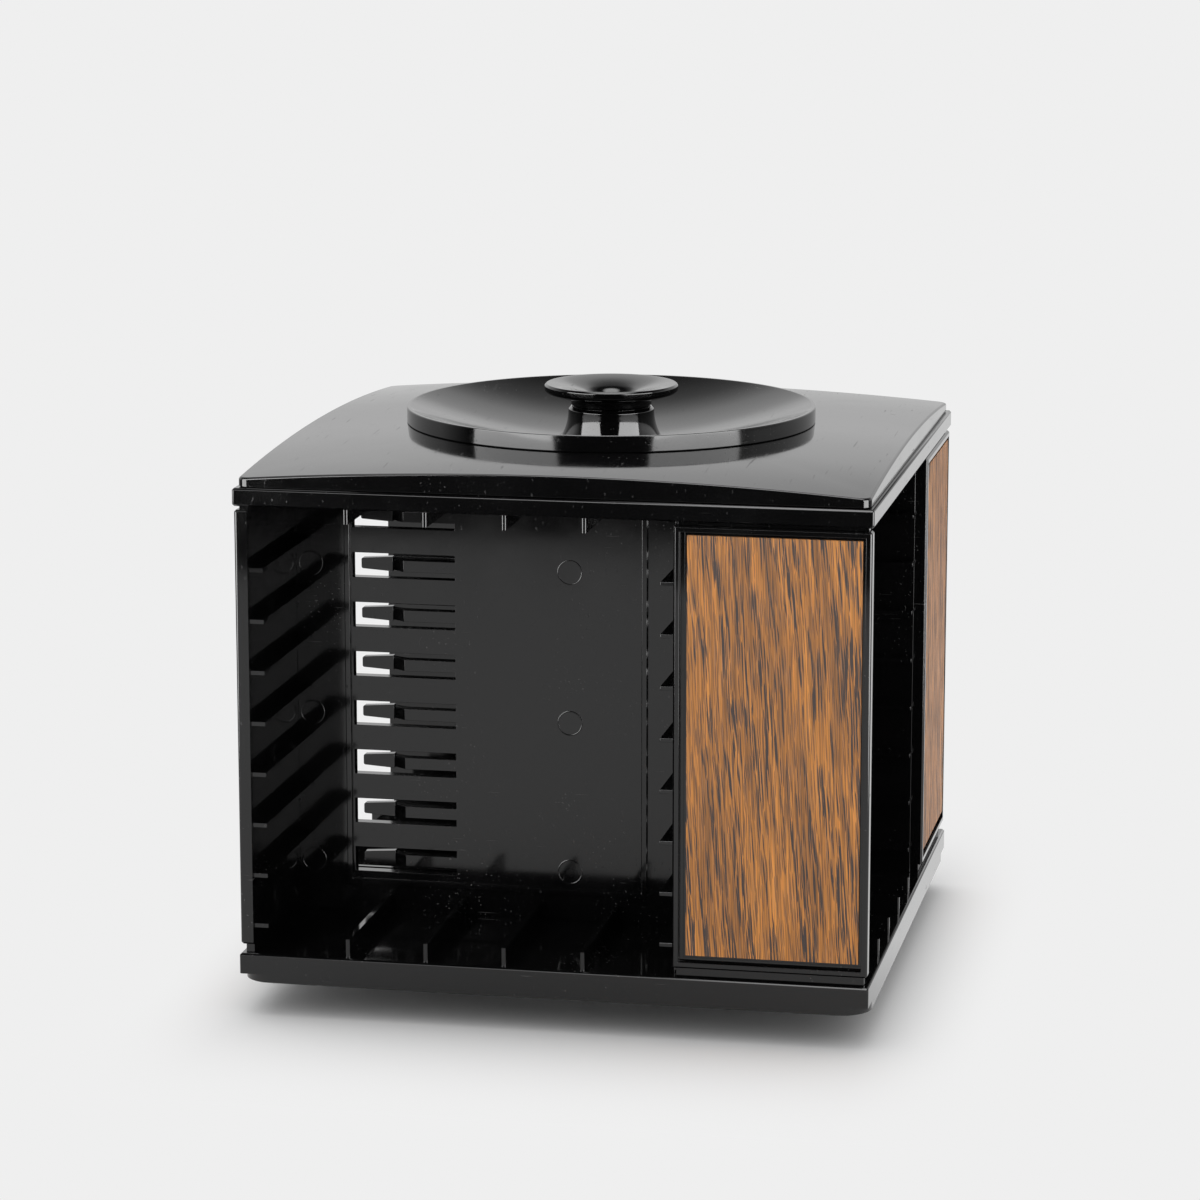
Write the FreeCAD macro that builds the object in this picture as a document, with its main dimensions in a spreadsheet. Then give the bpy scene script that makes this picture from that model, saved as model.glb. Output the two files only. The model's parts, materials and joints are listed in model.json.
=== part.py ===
import FreeCAD, Part
import Sketcher
import math
import os
import re

# Desktop carousel for compact cassettes. Millimetres, +Z up, the table at z = 0 and the spin
# axis on Z. The front bay opens towards -Y; each other bay is the same, a quarter turn on.

Vector = FreeCAD.Vector

# name, value, what it is
SIZES = (
    ("tower_width", 154.0, "side of the square tray and top frame"),
    ("bay_height", 110.3, "floor to ceiling, for a 109 mm cassette box"),
    ("core_width", 59.4, "inner side of the square core between the four walls"),
    ("wall_thickness", 2.9, "back wall of a bay"),
    ("tab_length", 18.0, "tab on a wall's top and bottom edge"),
    ("tab_margin", 8.0, "tab inside the end of its wall"),
    ("tab_relief", 0.4, "tab thinner than its wall, each side"),
    ("tab_depth", 1.3, "how far tabs and tenons enter the tray and the top frame"),
    ("socket_play", 0.1, "clearance round a tab or tenon, each side"),
    ("panel_thickness", 3.2, "outer panel"),
    ("panel_setback", 0.3, "panel's outer face behind the tray's side"),
    ("panel_edge_setback", 0.4, "panel's free edge behind the tray's side"),
    ("panel_gap_low", 2.2, "panel's lower end above the floor"),
    ("panel_gap_high", 0.9, "panel's upper end below the ceiling"),
    ("panel_edge_round", 0.7, "rounding of the panel's free edge"),
    ("tenon_offset", 1.2, "tenon's outer face behind the panel's outer face"),
    ("tenon_inset", 0.9, "tenon's ends inside the panel's width"),
    ("rim_width", 1.5, "rim round the panel's recess"),
    ("recess_depth", 0.9, "recess that holds the wood-grain sheet"),
    ("slit_width", 1.1, "deeper slit beside and below the sheet's seat"),
    ("slit_depth", 1.6, "slit measured from the panel's outer face"),
    ("inlay_border", 0.7, "black border of the seat round the sheet"),
    ("inlay_thickness", 0.8, "wood-grain sheet"),
    ("ledge_count", 8, "cassettes held flat in a bay"),
    ("ledge_pitch", 12.55, "height from one ledge to the next"),
    ("ledge_first", 6.9, "middle of the lowest ledge above the floor"),
    ("ledge_width", 3.6, "ledge, out from its wall"),
    ("ledge_thickness", 1.0, "ledge"),
    ("ledge_play", 0.4, "ledge's inner end short of the back wall"),
    ("ledge_setback", 0.8, "ledge's front end behind the panel's free edge"),
    ("bead_width", 1.5, "raised bead on a bay's back wall"),
    ("bead_height", 0.8, "bead"),
    ("bead_margin_left", 12.4, "bead inside the back wall's left end"),
    ("bead_margin_right", 14.1, "bead inside the back wall's right end"),
    ("bead_level", 6.7, "underside of the lower bead above the floor"),
    ("slot_length", 26.1, "slot cut round a spring finger"),
    ("slot_height", 6.2, "slot"),
    ("slot_root", 3.3, "slot's root end beyond the core"),
    ("finger_height", 2.9, "spring finger at its root"),
    ("finger_tip_height", 3.7, "finger's pad where it leaves the bend"),
    ("finger_end_height", 2.7, "finger's pad at its end"),
    ("finger_straight", 13.1, "flush stretch of a finger"),
    ("finger_bend", 3.3, "length of the bend"),
    ("finger_pad", 8.0, "pad beyond the bend"),
    ("finger_pad_thickness", 2.0, "pad"),
    ("finger_offset", 2.4, "pad's front behind the wall's front"),
    ("finger_above_ledge", 6.3, "middle of a finger above the ledge below it"),
    ("rib_count", 4, "upright dividers on the floor and ceiling of a bay"),
    ("rib_pitch", 19.3, "divider to divider, for 17 mm cassette boxes"),
    ("rib_first", 23.4, "first divider from the bay's open corner panel"),
    ("rib_thickness", 1.2, "divider"),
    ("floor_rib_height", 4.6, "divider on the floor"),
    ("ceiling_rib_height", 4.1, "divider under the ceiling"),
    ("floor_rib_setback", 1.0, "front end of a floor divider behind the tray's side"),
    ("ceiling_rib_setback", 3.5, "front end of a ceiling divider behind the frame's side"),
    ("tray_clearance", 8.4, "tray's underside above the table"),
    ("tray_height", 7.1, "tray, underside to floor"),
    ("tray_floor", 2.4, "tray's floor"),
    ("tray_step", 2.0, "lower band of the tray with round corners"),
    ("tray_corner", 7.5, "round corners of the lower band"),
    ("skirt_thickness", 2.0, "skirts of tray, top frame and lid"),
    ("edge_break", 0.5, "small chamfer or rounding on outer edges"),
    ("cross_rib_thickness", 1.6, "cross ribs under the tray and in the top frame"),
    ("cross_rib_height", 1.8, "cross ribs in the top frame"),
    ("boss_radius", 13.0, "boss round the spin axis"),
    ("spigot_radius", 8.0, "pivot spigot under the tray"),
    ("pivot_play", 0.08, "radial play of the spigot in the foot"),
    ("axial_play", 0.3, "end play of the foot on the spigot"),
    ("bolt_radius", 3.0, "tie bolt's shank"),
    ("bolt_play", 0.15, "radial play round the shank"),
    ("bolt_head_width", 10.0, "bolt head across flats"),
    ("bolt_head_height", 3.0, "low bolt head"),
    ("head_clearance", 1.0, "bolt head above the table"),
    ("washer_thickness", 1.2, "retaining washer"),
    ("washer_radius", 11.5, "retaining washer"),
    ("thrust_thickness", 0.8, "thrust washer"),
    ("thrust_radius", 12.5, "thrust washer"),
    ("thrust_play", 0.05, "running gap over the thrust washer"),
    ("foot_radius", 52.0, "round foot"),
    ("foot_rim_height", 4.0, "outer wall of the foot"),
    ("foot_rim_level", 0.6, "foot's rim above the table"),
    ("foot_wall", 2.2, "foot's shell"),
    ("foot_hub_radius", 13.5, "foot's hub"),
    ("foot_hub_top", 10.6, "hub's top above the table"),
    ("foot_crown", 8.6, "shell's height at the hub"),
    ("pad_radius", 5.0, "rubber pad"),
    ("pad_thickness", 1.8, "rubber pad"),
    ("pad_boss", 0.5, "pad's boss wider than the pad, each side"),
    ("pad_margin", 2.3, "pad's boss inside the foot's outer wall"),
    ("frame_height", 4.4, "top frame"),
    ("frame_ceiling", 2.2, "top frame's plate"),
    ("lid_inset", 1.0, "lid inside the top frame's sides"),
    ("lid_crown", 8.3, "lid's apex above the top frame"),
    ("lid_corner_height", 2.2, "lid's side at its corners"),
    ("lid_thickness", 2.0, "lid's shell"),
    ("lid_corner", 2.5, "lid's corners seen from above"),
    ("lid_corner_inside", 0.5, "lid's corners on the inside"),
    ("lid_collar_wall", 1.6, "collar round the lid's opening"),
    ("lid_lip", 1.2, "locating lip inside the top frame's skirt"),
    ("lid_lip_depth", 1.4, "lip below the lid's rim"),
    ("dish_radius", 51.3, "top dish"),
    ("dish_rim_top", 11.0, "dish's rim above the top frame"),
    ("dish_seat", 1.8, "dish's flange that rests on the lid"),
    ("dish_bowl_radius", 13.3, "where the bowl meets the hub's flare"),
    ("dish_wall", 1.8, "dish's shell"),
    ("dish_rim_flat", 0.8, "level top of the dish's rim"),
    ("dish_ring_depth", 2.4, "dish's locating ring below the flange"),
    ("dish_play", 0.3, "dish's spigot ring inside the lid's opening"),
    ("hub_top_radius", 10.8, "dish's hub at its top"),
    ("hub_top", 10.6, "hub's top above the top frame"),
    ("hub_flare", 13.2, "radius of the hub's flared side"),
    ("hub_chamfer", 0.7, "chamfer at the hub's top"),
    ("knob_radius", 16.75, "knob's rim"),
    ("knob_top", 16.3, "knob's rim above the top frame"),
    ("knob_rim", 1.2, "straight side of the knob's rim"),
    ("knob_collar", 12.6, "collar's top above the top frame"),
    ("knob_collar_height", 1.7, "collar"),
    ("knob_stem", 9.4, "knob's stem"),
    ("knob_sink", 3.2, "stem's end inside the hub"),
    ("saucer_fall", 1.5, "fall of the knob's top from its rim to its funnel"),
    ("saucer_round", 80.0, "radius of the saucer's profile"),
    ("funnel_radius", 6.0, "funnel in the middle of the knob"),
    ("funnel_fall", 0.85, "fall of the funnel's side"),
    ("funnel_round", 8.0, "radius of the funnel's side in profile"),
    ("well_radius", 3.2, "rounded floor of the funnel"),
    ("well_depth", 0.5, "fall of the funnel's floor to its middle"),
    ("insert_radius", 4.6, "threaded insert in the knob"),
    ("insert_length", 5.2, "threaded insert"),
    ("thread_play", 0.05, "radial play of the bolt in the insert"),
)

# places worked out from the sizes above
PLACES = {
    "half": "tower_width / 2",
    "floor": "tray_clearance + tray_height",
    "ceiling": "floor + bay_height",
    "frame_top": "ceiling + frame_height",
    "core": "core_width / 2",
    "wall_front": "core + wall_thickness",
    "panel_outer": "half - panel_setback",
    "panel_inner": "panel_outer - panel_thickness",
    "panel_free": "half - panel_edge_setback",
    "panel_low": "floor + panel_gap_low",
    "panel_high": "ceiling - panel_gap_high",
    "tenon_outer": "panel_outer - tenon_offset",
    "tenon_near": "core + tenon_inset",
    "tenon_far": "panel_free - tenon_inset",
    "tab_front": "wall_front - tab_relief",
    "tab_back": "core + tab_relief",
    "tab_left": "-panel_inner + tab_margin",
    "tab_right": "core - tab_margin",
    "slot_right": "-(core + slot_root)",
    "slot_left": "slot_right - slot_length",
    "bend_start": "slot_right - finger_straight",
    "bend_end": "bend_start - finger_bend",
    "finger_end": "bend_end - finger_pad",
    "finger_front": "wall_front - finger_offset",
    "ledge_low": "floor + ledge_first",
    "ledge_under": "ledge_low - ledge_thickness / 2",
    "finger_low": "ledge_low + finger_above_ledge",
    "rib_back": "wall_front + bead_height + socket_play",
    "tray_under": "floor - tray_floor",
    "tray_mid": "tray_clearance + tray_step",
    "spigot_end": "head_clearance + bolt_head_height + washer_thickness",
    "hub_under": "spigot_end + axial_play",
    "boss_end": "foot_hub_top + thrust_thickness + thrust_play",
    "bolt_hole": "bolt_radius + bolt_play",
    "foot_rim_top": "foot_rim_level + foot_rim_height",
    "foot_inner": "foot_radius - foot_wall",
    "pad_circle": "foot_inner - pad_margin - pad_boss - pad_radius",
    "frame_deck": "ceiling + frame_ceiling",
    "lid_half": "half - lid_inset",
    "lid_inner": "lid_half - lid_thickness",
    "lid_reach": "lid_half * sqrt(2)",
    "lid_drop": "lid_crown - lid_corner_height",
    "lid_sphere": "(pow(lid_reach; 2) + pow(lid_drop; 2)) / (2 * lid_drop)",
    "lid_apex": "frame_top + lid_crown",
    "lid_opening": "dish_radius - dish_seat",
    "lip_outer": "half - skirt_thickness - socket_play",
    "lip_inner": "lip_outer - lid_lip",
    "collar_low": "frame_deck + cross_rib_height",
    "dish_under": "lid_apex - pow(lid_opening; 2) / (2 * lid_sphere)",
    "collar_high": "dish_under - lid_thickness / 2",
    "dish_ring": "lid_opening - dish_play",
    "ring_inner": "dish_ring - dish_wall",
    "ring_low": "dish_under - dish_ring_depth",
    "dish_top": "frame_top + dish_rim_top",
    "dish_lip": "dish_radius - dish_rim_flat",
    "bowl_low": "frame_top + dish_wall",
    "bowl_rise": "dish_rim_top - dish_wall",
    "bowl_reach": "pow(dish_lip; 2) - pow(dish_bowl_radius; 2)",
    "bowl_centre": "(bowl_reach + pow(bowl_rise; 2)) / (2 * bowl_rise)",
    "bowl_sphere": "sqrt(pow(dish_bowl_radius; 2) + pow(bowl_centre; 2))",
    "under_sphere": "bowl_sphere + dish_wall",
    "under_start": "sqrt(pow(under_sphere; 2) - pow(bowl_centre + dish_wall; 2))",
    "under_high": "bowl_low + bowl_centre - sqrt(pow(under_sphere; 2) - pow(ring_inner; 2))",
    "hub_level": "frame_top + hub_top",
    "stem_bore": "knob_stem + thread_play",
    "knob_level": "frame_top + knob_top",
    "collar_level": "frame_top + knob_collar",
    "collar_radius": "hub_top_radius - hub_chamfer",
    "stem_end": "hub_level - knob_sink",
    "funnel_rim": "knob_level - saucer_fall",
    "well_rim": "funnel_rim - funnel_fall",
    "well_round": "(pow(well_radius; 2) + pow(well_depth; 2)) / (2 * well_depth)",
    "rim_inner": "knob_radius - edge_break",
    "rim_under": "knob_level - knob_rim - 2 * edge_break",
    "insert_end": "stem_end + insert_length",
    "bolt_end": "insert_end - thread_play",
}

SIDES = (("front", 0), ("right", 90), ("back", 180), ("left", 270))
NEAR = 1e-3

doc = FreeCAD.newDocument("cassette_tower")
sheet = doc.addObject("Spreadsheet::Sheet", "Sizes")
for row, (alias, number, meaning) in enumerate(SIZES, start=1):
    sheet.set(f"A{row}", alias)
    sheet.set(f"B{row}", str(number))
    sheet.set(f"C{row}", meaning)
    sheet.setAlias(f"B{row}", alias)
doc.recompute()
ALIASES = {alias for alias, number, meaning in SIZES}


def formula(text):
    """A formula with its places written out and its sizes read from the sheet."""
    def swap(match):
        word = match.group(0)
        if word in PLACES:
            return f"({formula(PLACES[word])})"
        return f"Sizes.{word}" if word in ALIASES else word
    return re.sub(r"[a-z_]+", swap, text)


def value(text):
    return float(sheet.evalExpression(formula(text)))


def bind(thing, name, text):
    thing.setExpression(name, formula(text))


def new_body(label, turn=0):
    body = doc.addObject("PartDesign::Body", label)
    body.Label = label
    body.Placement = FreeCAD.Placement(Vector(0, 0, 0), FreeCAD.Rotation(Vector(0, 0, 1), turn))
    return body


def origin_part(body, role):
    return next(part for part in body.Origin.OriginFeatures if part.Role == role)


def new_sketch(body, plane, name, lift="0"):
    """Sketch on an origin plane. Its lift is along +Z on XY_Plane and along -Y on XZ_Plane."""
    sketch = body.newObject("Sketcher::SketchObject", f"{body.Name}_{name}")
    sketch.AttachmentSupport = [(origin_part(body, plane), "")]
    sketch.MapMode = "FlatFace"
    bind(sketch, "AttachmentOffset.Base.z", lift)
    return sketch


def hold(sketch, kind, edge, end, text):
    """Hold one coordinate of a point of the sketch at a formula."""
    if text == "0":
        axis = -2 if kind == "DistanceX" else -1
        sketch.addConstraint(Sketcher.Constraint("PointOnObject", edge, end, axis))
        return
    index = sketch.addConstraint(Sketcher.Constraint(kind, -1, 1, edge, end, value(text)))
    bind(sketch, f"Constraints[{index}]", text)


def hold_radius(sketch, edge, text):
    index = sketch.addConstraint(Sketcher.Constraint("Radius", edge, value(text)))
    bind(sketch, f"Constraints[{index}]", text)


def arc_between(start, end, radius, side):
    """Arc from start to end whose centre is on this side of the way."""
    chord = end - start
    height = math.sqrt(radius ** 2 - (chord.Length / 2) ** 2)
    across = Vector(-chord.y, chord.x, 0).normalize() * height
    centre = (start + end) / 2 + (across if side == "left" else -across)
    first, last = (start, end) if side == "left" else (end, start)
    begin = math.atan2(first.y - centre.y, first.x - centre.x)
    finish = math.atan2(last.y - centre.y, last.x - centre.x)
    return Part.ArcOfCircle(Part.Circle(centre, Vector(0, 0, 1), radius), begin, finish)


def outline(sketch, corners):
    """Closed outline. A corner is (across, up), or (across, up, radius, side) where an arc
    arrives there with its centre on that side of the way."""
    points = [Vector(value(corner[0]), value(corner[1]), 0) for corner in corners]
    base = sketch.GeometryCount
    ends = []
    for index, corner in enumerate(corners):
        if len(corner) == 2:
            sketch.addGeometry(Part.LineSegment(points[index - 1], points[index]), False)
            ends.append((1, 2))
        else:
            arc = arc_between(points[index - 1], points[index], value(corner[2]), corner[3])
            sketch.addGeometry(arc, False)
            ends.append((1, 2) if corner[3] == "left" else (2, 1))
    for index, corner in enumerate(corners):
        after = (index + 1) % len(corners)
        sketch.addConstraint(Sketcher.Constraint(
            "Coincident", base + index, ends[index][1], base + after, ends[after][0]))
    for index, corner in enumerate(corners):
        hold(sketch, "DistanceX", base + index, ends[index][1], corner[0])
        hold(sketch, "DistanceY", base + index, ends[index][1], corner[1])
        if len(corner) > 2:
            hold_radius(sketch, base + index, corner[2])


def rectangle(sketch, left, right, low, high):
    outline(sketch, ((left, low), (right, low), (right, high), (left, high)))


def circle(sketch, radius, across="0", up="0"):
    centre = Vector(value(across), value(up), 0)
    index = sketch.addGeometry(Part.Circle(centre, Vector(0, 0, 1), value(radius)), False)
    hold(sketch, "DistanceX", index, 3, across)
    hold(sketch, "DistanceY", index, 3, up)
    hold_radius(sketch, index, radius)


def square(body, name, half_width, lift, corner=None):
    """Square round the spin axis, with round corners if a corner radius is given."""
    sketch = new_sketch(body, "XY_Plane", name, lift)
    far, near = half_width, f"-({half_width})"
    if corner is None:
        rectangle(sketch, near, far, near, far)
        return sketch
    short = f"(({half_width}) - ({corner}))"
    outline(sketch, (
        (short, near), (far, f"-{short}", corner, "left"), (far, short),
        (short, far, corner, "left"), (f"-{short}", far), (near, short, corner, "left"),
        (near, f"-{short}"), (f"-{short}", near, corner, "left")))
    return sketch


def disc(body, name, radius, lift):
    sketch = new_sketch(body, "XY_Plane", name, lift)
    circle(sketch, radius)
    return sketch


def pad(body, name, sketch, length, backwards=False):
    feature = body.newObject("PartDesign::Pad", f"{body.Name}_{name}")
    feature.Profile = sketch
    feature.Reversed = backwards
    bind(feature, "Length", length)
    body.Tip = feature
    return feature


def pocket(body, name, sketch, length, backwards=False):
    """Cut that has to take material away. It goes against the sketch's lift, or along it."""
    doc.recompute()
    before = body.Shape.Volume
    feature = body.newObject("PartDesign::Pocket", f"{body.Name}_{name}")
    feature.Profile = sketch
    feature.Reversed = backwards
    bind(feature, "Length", length)
    body.Tip = feature
    doc.recompute()
    if body.Shape.Volume > before - NEAR:
        raise RuntimeError(f"{feature.Name} cuts nothing")
    return feature


def revolve(body, name, corners):
    sketch = new_sketch(body, "XZ_Plane", f"{name}_outline")
    outline(sketch, corners)
    feature = body.newObject("PartDesign::Revolution", f"{body.Name}_{name}")
    feature.Profile = sketch
    feature.ReferenceAxis = (sketch, ["V_Axis"])
    feature.Angle = 360
    body.Tip = feature
    return feature


def up_the_wall(body, name, features):
    """Repeat features at every ledge."""
    feature = body.newObject("PartDesign::LinearPattern", f"{body.Name}_{name}")
    feature.Originals = features
    feature.Direction = (origin_part(body, "Z_Axis"), [""])
    bind(feature, "Length", "(ledge_count - 1) * ledge_pitch")
    bind(feature, "Occurrences", "ledge_count")
    body.Tip = feature


def on_all_sides(body, name, features):
    """Repeat features a quarter turn on, for every bay."""
    feature = body.newObject("PartDesign::PolarPattern", f"{body.Name}_{name}")
    feature.Originals = features
    feature.Axis = (origin_part(body, "Z_Axis"), [""])
    feature.Angle = 360
    feature.Occurrences = len(SIDES)
    body.Tip = feature


def break_edges(body, kind, name, size, wanted):
    """Fillet or chamfer every edge of the body so far whose box passes the test."""
    doc.recompute()
    base = body.Tip
    names = [f"Edge{number}" for number, edge in enumerate(base.Shape.Edges, start=1)
             if wanted(edge.BoundBox)]
    feature = body.newObject(f"PartDesign::{kind}", f"{body.Name}_{name}")
    feature.Base = (base, names)
    bind(feature, "Radius" if kind == "Fillet" else "Size", size)
    body.Tip = feature


def is_upright(box):
    return box.XLength < NEAR and box.YLength < NEAR


def is_level(box, height):
    return abs(box.ZMin - height) < NEAR and abs(box.ZMax - height) < NEAR


# Back wall of a bay, from the panel at its left to the next wall. Its rear face is the side wall
# of the neighbouring bay: ledges stand on it, and spring fingers cut in it reach out of it.
def make_wall(side, turn):
    body = new_body(f"wall_{side}", turn)
    plate = new_sketch(body, "XY_Plane", "plate_outline", "floor")
    rectangle(plate, "-panel_inner", "core", "-wall_front", "-core")
    pad(body, "plate", plate, "bay_height")

    tabs = new_sketch(body, "XY_Plane", "tab_outline", "floor - tab_depth")
    rectangle(tabs, "tab_left", "tab_left + tab_length", "-tab_front", "-tab_back")
    rectangle(tabs, "tab_right - tab_length", "tab_right", "-tab_front", "-tab_back")
    pad(body, "tabs", tabs, "bay_height + 2 * tab_depth")

    bead = new_sketch(body, "XZ_Plane", "bead_outline", "wall_front")
    left = "-panel_inner + bead_margin_left"
    right = "core - bead_margin_right"
    low = "floor + bead_level"
    outline(bead, (
        (left, "ceiling"), (left, low), (right, low), (right, "ceiling"),
        (f"{right} - bead_width", "ceiling"), (f"{right} - bead_width", f"{low} + bead_width"),
        (f"{left} + bead_width", f"{low} + bead_width"), (f"{left} + bead_width", "ceiling")))
    pad(body, "bead", bead, "bead_height")

    ledge = new_sketch(body, "XY_Plane", "ledge_outline", "ledge_under")
    rectangle(ledge, "-panel_inner", "-(wall_front + ledge_play)", "-core", "-core + ledge_width")
    up_the_wall(body, "ledges", [pad(body, "ledge", ledge, "ledge_thickness")])

    slot = new_sketch(body, "XZ_Plane", "slot_outline", "wall_front")
    rectangle(slot, "slot_left", "slot_right", "finger_low - slot_height / 2",
              "finger_low + slot_height / 2")
    slot = pocket(body, "slot", slot, "wall_thickness")
    up_the_wall(body, "slots", [slot])

    root = new_sketch(body, "XY_Plane", "root_outline", "finger_low - finger_height / 2")
    rectangle(root, "bend_start", "slot_right", "-wall_front", "-core")
    root = pad(body, "root", root, "finger_height")
    bend = new_sketch(body, "XY_Plane", "bend_outline", "finger_low - finger_height / 2")
    outline(bend, (("bend_start", "-wall_front"), ("bend_start", "-core"),
                   ("bend_end", "-finger_front + finger_pad_thickness"),
                   ("bend_end", "-finger_front")))
    bend = pad(body, "bend", bend, "finger_height")
    tip = new_sketch(body, "XZ_Plane", "tip_outline", "finger_front")
    top = "finger_low + finger_tip_height / 2"
    under = "finger_low - finger_tip_height / 2"
    end_top = "finger_low + finger_end_height / 2"
    end_under = "finger_low - finger_end_height / 2"
    outline(tip, (
        ("bend_end", under), ("bend_end", top), ("finger_end + edge_break", end_top),
        ("finger_end", f"{end_top} - edge_break", "edge_break", "left"),
        ("finger_end", f"{end_under} + edge_break"),
        ("finger_end + edge_break", end_under, "edge_break", "left")))
    tip = pad(body, "tip", tip, "finger_pad_thickness", backwards=True)
    up_the_wall(body, "fingers", [root, bend, tip])
    return body


# Outer panel beside a bay. Its inner face is the other side wall of the bay round the corner. A
# thinner tenon at each end enters the tray and the top frame.
def make_panel(side, turn):
    body = new_body(f"panel_{side}", turn)
    plate = new_sketch(body, "XY_Plane", "plate_outline", "panel_low")
    rectangle(plate, "core", "panel_free", "-panel_outer", "-panel_inner")
    pad(body, "plate", plate, "panel_high - panel_low")
    face = NEAR - value("panel_outer")
    free = value("panel_free") - NEAR
    break_edges(body, "Fillet", "free_edge", "panel_edge_round",
                lambda box: is_upright(box) and box.XMin > free and box.YMin < face)
    break_edges(body, "Chamfer", "outer_edges", "edge_break",
                lambda box: box.YMax < face and box.XMax < free)

    tenon = new_sketch(body, "XY_Plane", "tenon_outline", "floor - tab_depth")
    rectangle(tenon, "tenon_near", "tenon_far", "-tenon_outer", "-panel_inner")
    pad(body, "tenon", tenon, "bay_height + 2 * tab_depth")

    left = "core + rim_width"
    right = "panel_free - rim_width"
    low = "panel_low + rim_width"
    high = "panel_high - rim_width"
    recess = new_sketch(body, "XZ_Plane", "recess_outline", "panel_outer")
    rectangle(recess, left, right, low, high)
    pocket(body, "recess", recess, "recess_depth")
    slit = new_sketch(body, "XZ_Plane", "slit_outline", "panel_outer")
    outline(slit, (
        (left, high), (left, low), (right, low), (right, f"{low} + slit_width"),
        (f"{left} + slit_width", f"{low} + slit_width"), (f"{left} + slit_width", high)))
    pocket(body, "slit", slit, "slit_depth")

    ledge = new_sketch(body, "XY_Plane", "ledge_outline", "ledge_under")
    rectangle(ledge, "wall_front + ledge_play", "panel_free - ledge_setback",
              "-panel_inner", "-panel_inner + ledge_width")
    up_the_wall(body, "ledges", [pad(body, "ledge", ledge, "ledge_thickness")])
    return body


# Wood-grain sheet on its seat in the panel.
def make_inlay(side, turn):
    body = new_body(f"wood_inlay_{side}", turn)
    veneer = new_sketch(body, "XZ_Plane", "veneer_outline", "panel_outer - recess_depth")
    rectangle(veneer, "core + rim_width + slit_width + inlay_border",
              "panel_free - rim_width - inlay_border",
              "panel_low + rim_width + slit_width + inlay_border",
              "panel_high - rim_width - inlay_border")
    pad(body, "veneer", veneer, "inlay_thickness")
    return body


def add_ribs(body, lift, height, setback, backwards=False):
    """Dividers of all four bays, standing on the floor or hanging from the ceiling."""
    ribs = new_sketch(body, "XY_Plane", "rib_outline", lift)
    for index in range(int(value("rib_count"))):
        middle = f"-panel_inner + rib_first + {index} * rib_pitch"
        rectangle(ribs, f"{middle} - rib_thickness / 2", f"{middle} + rib_thickness / 2",
                  f"-(half - {setback})", "-rib_back")
    on_all_sides(body, "ribs", [pad(body, "rib", ribs, height, backwards)])


def add_sockets(body, lift, backwards=False):
    """Sockets for the panels' tenons and the walls' tabs."""
    sockets = new_sketch(body, "XY_Plane", "socket_outline", lift)
    for left, right, front, back in (
            ("tenon_near", "tenon_far", "tenon_outer", "panel_inner"),
            ("tab_left", "tab_left + tab_length", "tab_front", "tab_back"),
            ("tab_right - tab_length", "tab_right", "tab_front", "tab_back")):
        rectangle(sockets, f"{left} - socket_play", f"{right} + socket_play",
                  f"-{front} - socket_play", f"-{back} + socket_play")
    sockets = pocket(body, "socket", sockets, "tab_depth + socket_play", backwards)
    on_all_sides(body, "sockets", [sockets])


def add_cross(body, low, height, half_width):
    """Two crossing ribs that stiffen a floor."""
    cross = new_sketch(body, "XY_Plane", "cross_outline", low)
    rectangle(cross, f"-({half_width})", half_width,
              "-cross_rib_thickness / 2", "cross_rib_thickness / 2")
    pad(body, "cross", cross, height)
    turned = new_sketch(body, "XY_Plane", "turned_outline", low)
    rectangle(turned, "-cross_rib_thickness / 2", "cross_rib_thickness / 2",
              f"-({half_width})", half_width)
    pad(body, "turned", turned, height)


# Tray: the floor of all bays, open underneath, with the spigot that the tower turns on.
def make_tray():
    body = new_body("bottom_tray")
    pad(body, "slab", square(body, "slab_outline", "half", "tray_mid", "edge_break"),
        "tray_height - tray_step")
    break_edges(body, "Chamfer", "slab_edges", "edge_break",
                lambda box: is_level(box, value("floor")))
    pad(body, "band", square(body, "band_outline", "half", "tray_clearance", "tray_corner"),
        "tray_step")
    hollow = square(body, "hollow_outline", "half - skirt_thickness", "tray_clearance",
                    "tray_corner - skirt_thickness")
    pocket(body, "hollow", hollow, "tray_height - tray_floor", backwards=True)
    add_cross(body, "boss_end", "tray_under - boss_end", "half - skirt_thickness")
    pad(body, "boss", disc(body, "boss_outline", "boss_radius", "boss_end"),
        "tray_under - boss_end")
    pad(body, "spigot", disc(body, "spigot_outline", "spigot_radius", "spigot_end"),
        "tray_under - spigot_end")
    pocket(body, "bore", disc(body, "bore_outline", "bolt_hole", "floor"), "floor - spigot_end")
    add_sockets(body, "floor")
    add_ribs(body, "floor", "floor_rib_height", "floor_rib_setback")
    return body


# Top frame: the ceiling of all bays, open on top under the lid.
def make_top_frame():
    body = new_body("top_frame")
    pad(body, "slab", square(body, "slab_outline", "half", "ceiling", "edge_break"),
        "frame_height")
    break_edges(body, "Chamfer", "slab_edges", "edge_break",
                lambda box: is_level(box, value("frame_top")) or is_level(box, value("ceiling")))
    hollow = square(body, "hollow_outline", "half - skirt_thickness", "frame_top")
    pocket(body, "hollow", hollow, "frame_height - frame_ceiling")
    add_cross(body, "frame_deck", "cross_rib_height", "lip_inner - socket_play")
    pad(body, "boss", disc(body, "boss_outline", "boss_radius", "frame_deck"),
        "frame_top - frame_deck")
    pocket(body, "bore", disc(body, "bore_outline", "bolt_hole", "frame_top"), "frame_height")
    add_sockets(body, "ceiling", backwards=True)
    add_ribs(body, "ceiling", "ceiling_rib_height", "ceiling_rib_setback", backwards=True)
    return body


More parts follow.
